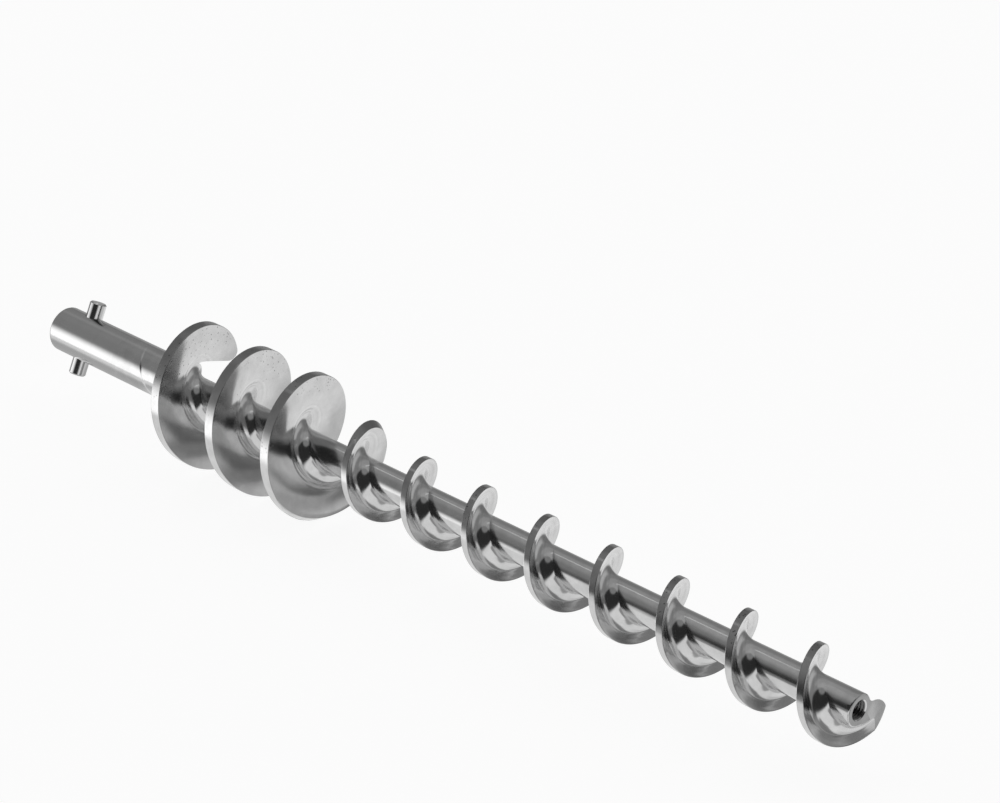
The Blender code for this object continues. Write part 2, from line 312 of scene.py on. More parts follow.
@dataclass
class Flighting:
    """The core and its one continuous flight, cut from the bar: large turns, a turned cone, small turns.

    The skin is one strip wound round the axis. A row is a turn number, and a column is a place on the
    cross-section from half a pitch behind the flight to half a pitch in front of it, so the last
    column of a row meets the first column of the row one turn later.
    """

    # The turned outside, and half the thickness of a turn's land.
    large_radius: float = 31.7
    small_radius: float = 17.8
    cone_start_x: float = 177.3
    cone_end_x: float = 201.3
    large_half: float = 2.55
    small_half: float = 1.75
    taper_turns: tuple[float, float] = (-0.5, 0.0)
    edge_break: float = 0.16
    # The front flanks.
    cutter_radius: float = 15.2
    root_lean: float = 1.85
    small_root_lean: float = 0.55
    small_waist: float = 0.95
    front_fillet: float = 6.3
    root_rings: tuple[tuple[float, float], ...] = ((13.6, 0.08), (14.7, -0.11), (15.8, 0.08))
    ring_width: float = 0.45
    ring_fade: float = 0.9
    # The rear flanks. The fillet is smaller on the first turn.
    large_rear_foot: float = 3.6
    small_rear_foot: float = 4.0
    large_rear_bulge: float = 0.3
    small_rear_bulge: float = 0.8
    rear_fillet: float = 1.8
    first_rear_fillet: float = 0.7
    rear_fillet_turns: tuple[float, float] = (-2.7, -2.1)
    # The run-in of the cutter, and the flight's milled start.
    skim: float = 0.14
    run_in: float = 2.5
    skim_turns: tuple[float, float] = (-4.05, -3.8)
    sink_turns: tuple[float, float] = (-3.72, -3.12)
    run_in_turns: tuple[float, float] = (-3.75, -3.3)
    base_start: float = -3.19
    join_radius: float = 12.2
    start_corner: float = 3.8
    nose_crowding: float = 1.7
    # The rows and columns of the skin.
    ring_top: float = 16.6
    ring_step: float = 0.3
    root_bend: float = 3.4
    edge_crowding: float = 0.8
    root_columns: int = 10
    flat_columns: int = 5
    climb_columns: int = 6
    descend_columns: int = 10
    bridge_columns: int = 7
    first_rows: int = 167
    hook_rows: int = 44
    tail_turns: float = 0.53
    # The tip, with its rounded rim and tapped hole.
    tip_rim: float = 0.5
    mouth_radius: float = 4.6
    minor_radius: float = 3.4
    major_radius: float = 4.0
    thread_pitch: float = 1.25
    thread_steps: int = 11
    mouth_depth: float = 1.1
    thread_end: float = 16.0
    hole_depth: float = 24.0
    drill_point: float = 2.0
    hole_rows: int = 72

    def split_turn(self) -> float:
        """Return the turn number where the flight leaves the milled face and the strip is whole."""
        return FIRST_TURN + (START_ANGLE_DEG - 90.0) / 360.0

    def start_x(self) -> float:
        """Return where the strip starts along the axis: half a pitch in front of its first row."""
        return self.middle(self.split_turn() - self.first_rows / ROWS_A_TURN) + 0.5 * PITCH

    @staticmethod
    def middle(turn: np.ndarray) -> np.ndarray:
        """Return the flight's place along the axis: turn zero's place plus the pitch for each turn."""
        return TURN_ZERO_X + PITCH * turn

    @staticmethod
    def angle(turn: np.ndarray) -> np.ndarray:
        """Return the angle from +Y in radians: a quarter turn plus a whole one for each turn."""
        return 0.5 * math.pi + 2.0 * math.pi * turn

    def outside(self, x: np.ndarray) -> np.ndarray:
        """Return the turned outer radius: large, then a straight cone, then small."""
        return mix(self.large_radius, self.small_radius, ramp(x, self.cone_start_x, self.cone_end_x))

    def small_share(self, turn: np.ndarray) -> np.ndarray:
        """Return 0 on the large turns and 1 on the small ones, with half a turn between them."""
        return ramp(turn, *self.taper_turns)

    def floor(self, turn: np.ndarray) -> np.ndarray:
        """Return the radius of the channel floor in front of the flight.

        The cutter first skims the shank, then sinks to the core's radius as it nears the flight's
        start: the shank's radius less an eased skim and an eased remainder.

        Args:
            turn: turn numbers.

        Returns:
            The radii, in the same shape.
        """
        skim = self.skim * ease(turn, *self.skim_turns)
        sink = (SHANK_RADIUS - CORE_RADIUS - self.skim) * ease(turn, *self.sink_turns)
        return SHANK_RADIUS - skim - sink

    def base_top(self, turn: np.ndarray) -> np.ndarray:
        """Return the radius of the low land that carries the root fillet past the flight's start."""
        return mix(SHANK_RADIUS, self.join_radius, ease(turn, self.base_start, self.split_turn()))

    def rear(self, turn: np.ndarray, radius: np.ndarray) -> np.ndarray:
        """Return how far behind the flight's middle its rear surface is at a radius.

        Above the fillet it leans in a straight line from the foot to the outer edge, plus a low
        parabola. In the fillet a quarter circle is added that meets the floor.

        Args:
            turn: turn numbers.
            radius: distances from the axis.

        Returns:
            The distances behind the middle.
        """
        small = self.small_share(turn)
        floor = self.floor(turn - 1.0)
        fillet = mix(self.first_rear_fillet, self.rear_fillet, ramp(turn, *self.rear_fillet_turns))
        half = mix(self.large_half, self.small_half, small)
        foot = mix(self.large_rear_foot, self.small_rear_foot, small)
        bulge = mix(self.large_rear_bulge, self.small_rear_bulge, small)
        share = ramp(radius, floor + fillet, self.outside(self.middle(turn) - half))
        leaning = mix(foot, half, share) + bulge * share * (1.0 - share)
        return leaning + fillet * quarter(1.0 - (radius - floor) / fillet)

    def front(self, turn: np.ndarray, radius: np.ndarray) -> np.ndarray:
        """Return how far in front of the flight's middle its front surface is at a radius.

        Near the floor it is a quarter circle. Above that, a small turn swings out from the waist to
        the land's edge as a parabola. A large turn has the wall that a round cutter leaves on a helix,
        which is the cutter's radius times the root of 1 plus the square of the pitch over the
        circumference. Both lean in near the root, by a length that dies out as a cube, and low rings
        stand round the roots. Where the cutter runs in, the whole surface is shifted back.

        Args:
            turn: turn numbers.
            radius: distances from the axis.

        Returns:
            The distances in front of the middle.
        """
        small = self.small_share(turn)
        floor = self.floor(turn)
        half = mix(self.large_half, self.small_half, small)
        fillet = self.front_fillet * quarter(1.0 - (radius - floor) / self.front_fillet)
        share = ramp(radius, floor + self.front_fillet, self.outside(self.middle(turn) + half))
        fading = (1.0 - share) ** 3
        slim = mix(self.small_waist, self.small_half, share * share) - self.small_root_lean * fading
        lead = PITCH / (2.0 * math.pi)
        rim = math.hypot(1.0, lead / self.large_radius)
        wall = np.hypot(1.0, lead / np.maximum(radius, floor + self.front_fillet)) - rim
        wide = self.large_half - self.cutter_radius * wall - self.root_lean * fading
        rings = sum(height * bump(radius, centre, self.ring_width) for centre, height in self.root_rings)
        run_in = self.run_in * (1.0 - ease(turn, *self.run_in_turns))
        return mix(wide, slim, small) + rings * (1.0 - self.ring_fade * small) + fillet - run_in

    def columns(self, turn: np.ndarray, joint: np.ndarray) -> tuple[dict, dict]:
        """Return the parts of the cross-section for a column of turn numbers.

        Args:
            turn: turn numbers, one a row, as a column.
            joint: the radius at which the low parts end and the upper parts start.

        Returns:
            Two dictionaries with the offset from the flight's middle and the radius of the low and
            upper parts behind and in front, and of the land.
        """
        offset, radius = {}, {}
        floor_behind, floor_front = self.floor(turn - 1.0), self.floor(turn)
        reach = 0.5 * PITCH
        quarter_turn = 0.5 * np.pi * np.linspace(0.0, 1.0, self.root_columns)
        spread = 1.0 - np.cos(quarter_turn)[None, :]
        low = floor_behind + (joint - floor_behind) * spread
        low_offset = -self.rear(turn, low)
        flat = np.linspace(0.0, 1.0, self.flat_columns, endpoint=False)[None, :]
        offset["behind"] = np.hstack([mix(-reach, low_offset[:, :1], flat), low_offset])
        radius["behind"] = np.hstack([floor_behind + 0.0 * flat, low])
        rise = self.join_radius - CORE_RADIUS
        even = np.arange(rise, self.root_bend + 0.5 * self.ring_step, -self.ring_step)
        bend = self.root_bend * (1.0 - np.sin(quarter_turn))
        share = np.concatenate([even, bend])[None, :] / rise
        front = floor_front + (joint - floor_front) * share
        front_offset = self.front(turn, front)
        after = np.linspace(0.0, 1.0, self.flat_columns + 1)[None, 1:]
        offset["front"] = np.hstack([front_offset, mix(front_offset[:, -1:], reach, after)])
        radius["front"] = np.hstack([front, floor_front + 0.0 * after])
        self.upper_columns(turn, offset, radius)
        return offset, radius

    def upper_columns(self, turn: np.ndarray, offset: dict, radius: dict) -> None:
        """Add the flight's upper rear flank, land and upper front flank to the cross-section.

        Both edges of the land are broken by a small round, and a column stands close to either side
        of each round, so that the shading turns only there. The middle of a round lies 0.293 of its
        radius in from either side: 1 less the cosine of 45 degrees.

        Args:
            turn: turn numbers, one a row, as a column.
            offset: the parts' offsets by name, which get the new parts.
            radius: the parts' radii by name, which get the new parts.
        """
        small = self.small_share(turn)
        half = mix(self.large_half, self.small_half, small)
        edge, corner, guard = self.edge_break, 0.293 * self.edge_break, 2.0 * self.edge_break
        top_behind = self.outside(self.middle(turn) - half) - edge
        top_front = self.outside(self.middle(turn) + half) - edge
        climb = np.linspace(0.0, 1.0, self.climb_columns + 1)[None, 1:]
        rear = mix(self.join_radius, top_behind - 0.5 * guard, climb)
        across = np.array([0.0, corner, edge, guard])[None, :]
        flat = np.linspace(0.0, 1.0, self.flat_columns)[None, 1:-1]
        middle = mix(guard - half, half - guard, flat)
        offset["land"] = np.hstack([across - half, middle, half - across[:, ::-1]])
        level = np.array([-edge, -corner, 0.0, 0.0])[None, :] + 0.0 * half
        drop = np.hstack([level, 0.0 * middle, level[:, ::-1]])
        radius["land"] = self.outside(self.middle(turn) + offset["land"]) + drop
        descend = np.linspace(0.0, 1.0, self.descend_columns)[None, :] ** self.edge_crowding
        gap = self.ring_step / 3.0
        fine = np.arange(self.ring_top, self.join_radius + gap, -self.ring_step)[None, :] + 0.0 * half
        front = np.hstack([mix(top_front - 0.5 * guard, self.ring_top + 2.0 * gap, descend), fine])
        offset["climb"], radius["climb"] = -self.rear(turn, rear), rear
        offset["descend"], radius["descend"] = self.front(turn, front), front

    def bridge(self, left: np.ndarray, right: np.ndarray) -> np.ndarray:
        """Return evenly spaced values between two columns, without the columns themselves."""
        share = np.linspace(0.0, 1.0, self.bridge_columns + 2)[None, 1:-1]
        return mix(left, right, share)

    def place(self, turn: np.ndarray, offset: np.ndarray, radius: np.ndarray) -> np.ndarray:
        """Return the points of rows of the strip, none of them behind its start."""
        x = np.maximum(self.middle(turn) + offset, self.start_x())
        return round_the_axis(x, radius, self.angle(turn))

    def add_base(self, shell: Shell) -> None:
        """Add the strip from its first row to where the flight is whole, with a low land on it.

        Args:
            shell: the piece that is put together.
        """
        turn = self.split_turn() + np.arange(-self.first_rows, 1)[:, None] / ROWS_A_TURN
        offset, radius = self.columns(turn, self.base_top(turn))
        middle = self.bridge(offset["behind"][:, -1:], offset["front"][:, :1])
        offsets = np.hstack([offset["behind"], middle, offset["front"]])
        radii = np.hstack([radius["behind"], self.base_top(turn) + 0.0 * middle, radius["front"]])
        across = arc_length(offsets, radii)
        shell.add_grid(shell.add_points(self.place(turn, offsets, radii), across))

    def add_flights(self, shell: Shell) -> None:
        """Add the strip with the whole flight on it, past the screw's end, where it is cut off.

        Args:
            shell: the piece that is put together.
        """
        last = (SCREW_LENGTH - TURN_ZERO_X) / PITCH + self.tail_turns
        rows = int(math.ceil((last - self.split_turn()) * ROWS_A_TURN)) + 1
        turn = self.split_turn() + np.arange(rows)[:, None] / ROWS_A_TURN
        offset, radius = self.columns(turn, np.full_like(turn, self.join_radius))
        offsets = np.hstack([offset[part] for part in STRIP_PARTS])
        radii = np.hstack([radius[part] for part in STRIP_PARTS])
        across = arc_length(offsets, radii)
        shell.add_grid(shell.add_points(self.place(turn, offsets, radii), across))

    def start_outline(self, share: np.ndarray) -> tuple[np.ndarray, np.ndarray]:
        """Return the outline of the flight's start, seen along the axis.

        The lower edge is the milled plane: the join radius times the plane's normal, plus a distance
        along the plane. It ends in a corner circle that touches the plane and the outside. The upper
        edge is the outside circle, which ends in the other half of the same corner.

        Args:
            share: how far along both edges, from 0 on the plane's normal to 1 at the nose.

        Returns:
            The lower and upper points as (y, z), one row for each share.
        """
        tilt = math.radians(START_ANGLE_DEG)
        normal = np.array([math.cos(tilt), math.sin(tilt)])
        along = np.array([math.sin(tilt), -math.cos(tilt)])
        rise = self.join_radius + self.start_corner
        run = math.sqrt((self.large_radius - self.start_corner) ** 2 - rise * rise)
        centre = rise * normal + run * along
        turned = math.atan2(run, rise)
        half_sweep = 0.5 * (math.pi - turned)
        bow = self.start_corner * half_sweep
        low = share * (run + bow)
        low_flat = self.join_radius * normal + np.minimum(low, run)[:, None] * along
        low_turn = np.maximum(low - run, 0.0)[:, None] / self.start_corner
        low_bow = centre - self.start_corner * (normal * np.cos(low_turn) - along * np.sin(low_turn))
        lower = np.where(low[:, None] > run, low_bow, low_flat)
        arc = self.large_radius * turned
        high = share * (arc + bow)
        high_turn = np.minimum(high / self.large_radius, turned)[:, None]
        high_flat = self.large_radius * (normal * np.cos(high_turn) + along * np.sin(high_turn))
        bow_turn = turned + np.maximum(high - arc, 0.0)[:, None] / self.start_corner
        high_bow = centre + self.start_corner * (normal * np.cos(bow_turn) + along * np.sin(bow_turn))
        upper = np.where(high[:, None] > arc, high_bow, high_flat)
        return lower, upper

    def add_hook(self, shell: Shell) -> None:
        """Add the flight's start: the part that reaches out over the milled face to a round nose.

        A column keeps its share of the height from the lower to the upper edge of the outline. Its
        place along the axis is the helix at its own angle plus the flank at its own radius. The rows
        crowd towards the nose: their share is 1 less a power of what remains.

        Args:
            shell: the piece that is put together.
        """
        share = 1.0 - (1.0 - np.linspace(0.0, 1.0, self.hook_rows)) ** self.nose_crowding
        lower, upper = self.start_outline(share)
        turn = np.full((1, 1), self.split_turn())
        offset, radius = self.columns(turn, np.full_like(turn, self.join_radius))
        height = self.large_radius - self.join_radius
        joint = np.full((1, 1), self.join_radius)
        upper_radius = np.hstack([joint, radius["climb"], radius["land"], radius["descend"], joint])
        climb = ((upper_radius - self.join_radius) / height)[0]
        points = lower[:, None, :] + (upper - lower)[:, None, :] * climb[None, :, None]
        distance = np.hypot(points[..., 0], points[..., 1])
        turns = FIRST_TURN + (np.degrees(np.arctan2(points[..., 1], points[..., 0])) - 90.0) / 360.0
        first = 1 + radius["climb"].shape[1]
        last = first + radius["land"].shape[1]
        shift = self.front(turns, distance)
        shift[:, :first] = -self.rear(turns, distance)[:, :first]
        shift[:, first:last] = offset["land"]
        body = np.stack([self.middle(turns) + shift, points[..., 0], points[..., 1]], axis=-1)
        run = np.hstack([offset[part] for part in STRIP_PARTS])
        rise = np.hstack([radius[part] for part in STRIP_PARTS])
        low = offset["behind"].shape[1] - 1
        across = arc_length(run, rise)[:, low : low + body.shape[1]]
        index = shell.add_points(body, across)
        left, right = body[:, :1, :], body[:, -1:, :]
        under_share = np.linspace(0.0, 1.0, self.bridge_columns + 2)[None, 1:-1, None]
        under = shell.add_points(mix(right, left, under_share), across[0, 0])
        shell.add_grid(wrapped(np.hstack([index, under])))

    def add_hole(self, shell: Shell) -> None:
        """Add the tapped hole's chamfer, thread and drilled point.

        The radius is the larger of the chamfer's cone and the thread. The thread is a triangle wave
        of the place along the axis over its pitch plus the share of a turn, so it runs as a helix. Its
        crests and roots are cut flat, as 1.25 times the wave less 0.1, kept between 0 and 1. It dies
        out over its last millimetre.

        Args:
            shell: the piece that is put together.
        """
        angle = np.linspace(0.0, 2.0 * np.pi, self.hole_rows, endpoint=False)[None, :]
        mouth = np.linspace(0.0, 1.0, 8)
        thread = np.arange(self.mouth_depth, self.thread_end, self.thread_pitch / self.thread_steps)
        drilled = [self.thread_end + 0.2, self.hole_depth - self.drill_point]
        depth = np.concatenate([mouth, thread, drilled])[:, None]
        wave = np.abs(2.0 * ((depth / self.thread_pitch + angle / (2.0 * np.pi)) % 1.0) - 1.0)
        groove = (self.major_radius - self.minor_radius) * np.clip(1.25 * wave - 0.1, 0.0, 1.0)
        groove = groove * (1.0 - ramp(depth, self.thread_end - 1.0, self.thread_end))
        cone = self.mouth_radius - depth * (self.mouth_radius - self.minor_radius) / self.mouth_depth
        radius = np.maximum(self.minor_radius + groove, cone)
        index = shell.add_points(round_the_axis(SCREW_LENGTH - depth, radius, angle), depth)
        shell.add_grid(wrapped(index))
        shell.add_fan(index[-1], np.array([SCREW_LENGTH - self.hole_depth, 0.0, 0.0]))

    def finish_tip(self, work: bmesh.types.BMesh) -> None:
        """Cut the strip off at the screw's end, with rows for the core's rim, and close both ends.

        Args:
            work: the bmesh of the strip, which is changed.
        """
        near_end = (SCREW_LENGTH - 22.0) * MM
        rim_shares = np.array([1.0, 0.72, 0.45, 0.2, 0.0])
        for depth in self.tip_rim * rim_shares:
            near = [face for face in work.faces if face.calc_center_median().x > near_end]
            edges = {edge for face in near for edge in face.edges}
            verts = {vert for face in near for vert in face.verts}
            bmesh.ops.bisect_plane(
                work,
                geom=near + list(edges) + list(verts),
                dist=1e-8,
                plane_co=((SCREW_LENGTH - depth) * MM, 0.0, 0.0),
                plane_no=(1.0, 0.0, 0.0),
                clear_outer=bool(depth == 0.0),
            )
        open_edges = [edge for edge in work.edges if edge.is_boundary]
        tip = [edge for edge in open_edges if edge.verts[0].co.x > near_end]
        bmesh.ops.triangle_fill(work, edges=tip, use_beauty=True, normal=(1.0, 0.0, 0.0))
        bmesh.ops.holes_fill(work, edges=[edge for edge in work.edges if edge.is_boundary], sides=0)

    def round_rim(self, mesh: bpy.types.Mesh) -> None:
        """Draw the core's points in near the end by a quarter circle, so that its rim is rounded.

        The hole's points stay, and the shift dies out from just above the core up the flight.

        Args:
            mesh: the mesh whose points are moved.
        """
        places = read_points(mesh)
        radius = np.hypot(places[:, 1], places[:, 2])
        depth = SCREW_LENGTH * MM - places[:, 0]
        rim = self.tip_rim * MM
        outward = radius / MM - CORE_RADIUS
        core = (outward > -1.0) * (1.0 - ramp(outward, 0.3, 1.2))
        inward = rim * quarter(1.0 - depth / rim) * core
        places[:, 1:] *= (1.0 - inward / np.maximum(radius, rim))[:, None]
        write_points(mesh, places)

    def build(self) -> bpy.types.Object:
        """Return the core and flight as one closed piece."""
        shell = Shell("flighting")
        self.add_base(shell)
        self.add_flights(shell)
        self.add_hook(shell)
        self.add_hole(shell)
        work = shell.to_bmesh()
        self.finish_tip(work)
        piece = piece_from(work, "flighting")
        self.round_rim(piece.data)
        return piece


@dataclass
class DriveShank:
    """The round drive end: a turned bar with a rounded rear edge and a hole across it for the pin."""

    end_x: float
    edge_round: float = 1.2
    hole_radius: float = 4.12
    face_rings: tuple[float, ...] = (3.0, 6.5, 8.8)
    side_rings: int = 30

    def build(self, pin: "CrossPin") -> bpy.types.Object:
        """Return the shank as a closed piece with the pin's hole cut through it.

        The skin is a profile turned round the axis: out along the rear face, round the edge by a
        quarter circle, and straight to where the flighting starts.

        Args:
            pin: the cross pin, whose place the hole takes.

        Returns:
            The shank.
        """
        bend = np.linspace(0.0, 0.5 * np.pi, 7)
        face = np.array(self.face_rings)
        edge_x = self.edge_round * (1.0 - np.cos(bend))
        edge_r = SHANK_RADIUS - self.edge_round * (1.0 - np.sin(bend))
        side = np.linspace(self.edge_round + 0.4, self.end_x, self.side_rings)
        x = np.concatenate([0.0 * face, edge_x, side])[:, None]
        radius = np.concatenate([face, edge_r, SHANK_RADIUS + 0.0 * side])[:, None]
        turn = np.arange(ROWS_A_TURN)[None, :] / ROWS_A_TURN
        angle = math.radians(START_ANGLE_DEG) + 2.0 * np.pi * turn
        shell = Shell("drive_shank_skin")
        index = shell.add_points(round_the_axis(x, radius, angle), x + self.edge_round)
        shell.add_grid(wrapped(index))
        shell.add_fan(index[0], np.zeros(3))
        shell.add_fan(index[-1], np.array([self.end_x, 0.0, 0.0]))
        piece = piece_from(shell.to_bmesh(), "drive_shank_body")
        cutter = pin.bar("pin_hole_cutter", self.hole_radius, 2.0 * SHANK_RADIUS + 8.0, 0.0)
        cut_through(piece, cutter)
        return piece


@dataclass
class CrossPin:
    """The plain pin pressed across the shank, with a chamfer at both ends."""

    radius: float = 4.0
    length: float = 35.6
    place_x: float = 15.6
    angle_deg: float = 63.7
    chamfer: float = 0.6
    guard: float = 0.25
    facets: int = 72

    def bar(self, name: str, radius: float, length: float, chamfer: float) -> bpy.types.Object:
        """Return a round bar across the shank, as a profile turned round the pin's own line.

        The profile goes out over the end's face, down the chamfer and along the side. A ring of points
        stands close behind each chamfer, so that the shading turns only there.

        Args:
            name: the object's name.
            radius: the bar's radius.
            length: its whole length.
            chamfer: the width of the chamfer at both ends.

        Returns:
            The bar as a closed object.
        """
        half = 0.5 * length
        straight = half - chamfer - self.guard
        along = np.array([half, half, half, half - 0.3 * chamfer, half - chamfer, straight])
        out = np.array([0.45, 0.72, 1.0, 1.0, 1.0, 1.0]) * radius
        out[2:4] -= np.array([1.0, 0.72]) * chamfer
        inner = np.linspace(1.0, -1.0, 13)[1:-1] * straight
        along = np.concatenate([along, inner, -along[::-1]])[:, None]
        out = np.concatenate([out, radius + 0.0 * inner, out[::-1]])[:, None]
        spin = np.linspace(0.0, 2.0 * np.pi, self.facets, endpoint=False)[None, :]
        tilt = math.radians(self.angle_deg)
        line = np.array([0.0, math.cos(tilt), math.sin(tilt)])
        side = np.array([0.0, -math.sin(tilt), math.cos(tilt)])
        middle = np.array([self.place_x, 0.0, 0.0])
        round_x = (out * np.cos(spin))[..., None] * np.array([1.0, 0.0, 0.0])
        points = middle + along[..., None] * line + round_x + (out * np.sin(spin))[..., None] * side
        shell = Shell(name)
        index = shell.add_points(points, half - along)
        shell.add_grid(wrapped(index))
        shell.add_fan(index[0], middle + half * line)
        shell.add_fan(index[-1], middle - half * line)
        return piece_from(shell.to_bmesh(), name)

    def build(self) -> bpy.types.Object:
        """Return the pin."""
        return self.bar("cross_pin_body", self.radius, self.length, self.chamfer)


class NodeBoard:
    """A short way to lay out and join the nodes of one material or world."""

    def __init__(self, tree: bpy.types.NodeTree) -> None:
        """Take the tree to work in."""
        self.tree = tree

    def feed(self, socket: bpy.types.NodeSocket, value: object) -> None:
        """Join a socket to another one, or set it to a plain value.

        Args:
            socket: the input to feed.
            value: an output, or a plain value.
        """
        if isinstance(value, bpy.types.NodeSocket):
            self.tree.links.new(value, socket)
        else:
            socket.default_value = value

    def add(self, kind: str, settings: dict | None = None, **inputs: object) -> bpy.types.Node:
        """Add a node, set its own settings and feed its inputs by name.

        Args:
            kind: the node's type name without the leading word Shader.
            settings: the node's own settings.
            inputs: values or sockets, with a low dash for a space in the name.

        Returns:
            The node.
        """
        node = self.tree.nodes.new("Shader" + kind)
        for name, value in (settings or {}).items():
            setattr(node, name, value)
        for name, value in inputs.items():
            self.feed(node.inputs[name.replace("_", " ")], value)
        return node

    def parts(self, place: object) -> bpy.types.bpy_prop_collection:
        """Return the three outputs that hold a place's x, y and z."""
        return self.add("NodeSeparateXYZ", Vector=place).outputs

    def math(self, operation: str, *values: object) -> bpy.types.NodeSocket:
        """Return the result of one sum on sockets or numbers.

        Args:
            operation: the sum's name in Blender.
            values: its sockets or numbers, in order.

        Returns:
            The result.
        """
        node = self.add("NodeMath", {"operation": operation})
        for socket, value in zip(node.inputs, values):
            self.feed(socket, value)
        return node.outputs[0]

    def product(self, first: object, second: object) -> bpy.types.NodeSocket:
        """Return one value times another."""
        return self.math("MULTIPLY", first, second)

    def distance(self, first: object, second: object) -> bpy.types.NodeSocket:
        """Return how far apart two values are."""
        return self.math("ABSOLUTE", self.math("SUBTRACT", first, second))

    def noise(
        self, place: object, scale: float, detail: float = 2.0, flat: bool = False
    ) -> bpy.types.NodeSocket:
        """Return even noise from 0 to 1 over a place, or along one number if it is flat.

        Args:
            place: a place, or one number.
            scale: how many bumps there are in a metre.
            detail: how many finer layers are added.
            flat: whether the noise runs along one number.

        Returns:
            The noise.
        """
        settings = {"noise_dimensions": "1D"} if flat else {}
        node = self.add("NodeTexNoise", settings, Scale=scale, Detail=detail)
        self.feed(node.inputs["W" if flat else "Vector"], place)
        return node.outputs["Fac"]

    def remap(
        self,
        value: object,
        low: object,
        high: object,
        start: float = 0.0,
        end: float = 1.0,
        eased: bool = True,
    ) -> bpy.types.NodeSocket:
        """Return the value brought from the range low to high into the range start to end.

        Args:
            value: the value.
            low: where the first range starts.
            high: where the first range ends.
            start: the result at low.
            end: the result at high.
            eased: whether the curve is eased at both ends, or straight.

        Returns:
            The result, cut to the second range.
        """
        settings = {"interpolation_type": "SMOOTHSTEP"} if eased else {}
        bounds = {"From_Min": low, "From_Max": high, "To_Min": start, "To_Max": end}
        return self.add("NodeMapRange", settings, Value=value, **bounds).outputs["Result"]

    def blend(self, share: object, first: object, second: object) -> bpy.types.NodeSocket:
        """Return the value that lies the given share of the way from first to second."""
        return self.add("NodeMix", {"data_type": "FLOAT"}, Factor=share, A=first, B=second).outputs[0]

    def total(self, first: object, *rest: tuple[object, float]) -> bpy.types.NodeSocket:
        """Return a start value plus each further value times its weight.

        Args:
            first: the start value.
            rest: pairs of a value and its weight.

        Returns:
            The sum.
        """
        for value, weight in rest:
            first = self.math("MULTIPLY_ADD", value, weight, first)
        return first


@dataclass(frozen=True)
class Spot:
    """A point of the surface as sockets: where it is in metres, and the slow noises there.

    Outer is 0 near the core and 1 on a wide face. The board lays out the nodes of the material.
    """

    board: NodeBoard
    place: bpy.types.NodeSocket
    x: bpy.types.NodeSocket
    z: bpy.types.NodeSocket
    radius: bpy.types.NodeSocket
    clouds: bpy.types.NodeSocket
    smears: bpy.types.NodeSocket
    outer: bpy.types.NodeSocket


@dataclass(frozen=True)
class Steel:
    """One machined finish of the same bright stainless steel.

    Lengths are millimetres. The marks are fine lines that follow the tool round the helix or the bar.
    The ripple is the slow unevenness that polishing leaves. The screw's two end faces are duller.
    """

    name: str
    grain: Grain
    tone: float = 0.66
    roughness: float = 0.12
    satin: float = 0.0
    cloud: float = 0.05
    mark_gap: float = 0.9
    mark_height: float = 0.0009
    ripple_size: float = 5.0
    ripple_height: float = 0.008
    face_dulling: float = 0.24
    face_band: float = 0.03

    def material(self) -> bpy.types.Material:
        """Return the finish as a node material.

        The brightness and the roughness are each a start value plus noises times their weights. The
        marks and the ripple are bumps. On an end face the marks run round the axis.
        """
        material = bpy.data.materials.new(self.name)
        material.use_nodes = True
        board = NodeBoard(material.node_tree)
        shader = board.tree.nodes["Principled BSDF"]
        place = board.add("NodeTexCoord").outputs["Object"]
        x, y, z = board.parts(place)
        radius = board.math("SQRT", board.math("ADD", board.product(y, y), board.product(z, z)))
        outer = board.remap(radius, 13.5 * MM, 19.0 * MM)
        clouds, smears = board.noise(place, 85.0, 3.0), board.noise(place, 30.0, 4.0)
        spot = Spot(board, place, x, z, radius, clouds, smears, outer)
        across = board.add("NodeAttribute", {"attribute_name": ACROSS}).outputs["Fac"]
        start: object = self.tone - 0.5 * self.cloud
        if self.grain is not Grain.GROUND_PIN:
            half = 0.5 * SCREW_LENGTH * MM
            on_face = board.math("GREATER_THAN", board.distance(x, half), half - self.face_band * MM)
            across = board.blend(on_face, across, radius)
            start = board.math("MULTIPLY_ADD", on_face, -self.face_dulling, start)
        wander = board.total(across, (clouds, 0.0006))
        marks = board.noise(wander, 1.0 / (self.mark_gap * MM), 2.0, flat=True)
        bands = board.noise(wander, 0.22 / (self.mark_gap * MM), 1.0, flat=True)
        grit, cloud = board.noise(place, 900.0, 2.0), self.cloud
        tone = board.total(start, (clouds, 1.4 * cloud), (grit, 0.4 * cloud), (bands, -0.8 * cloud))
        rough = board.total(self.roughness - 0.03, (smears, 0.08), (marks, 0.03), (outer, self.satin))
        tone, rough = self.wear_and_painted_shade(spot, tone, rough)
        colour = board.add("NodeCombineColor", Red=tone, Green=tone, Blue=tone).outputs["Color"]
        board.feed(shader.inputs["Base Color"], colour)
        board.feed(shader.inputs["Roughness"], board.math("MAXIMUM", rough, 0.04))
        shader.inputs["Metallic"].default_value = 1.0
        lines = board.add("NodeBump", Height=marks, Strength=1.0, Distance=self.mark_height * MM)
        ripple = board.noise(place, 1.0 / (self.ripple_size * MM), 1.0)
        slow = board.add("NodeBump", Height=ripple, Strength=1.0, Distance=self.ripple_height * MM)
        board.feed(slow.inputs["Normal"], lines.outputs["Normal"])
        board.feed(shader.inputs["Normal"], slow.outputs["Normal"])
        return material

    def wear_and_painted_shade(self, spot: Spot, tone: object, rough: object) -> tuple[object, object]:
        """Return the brightness and roughness with a piece's own traces and painted shade. A plain finish
        has none.
        """
        return tone, rough


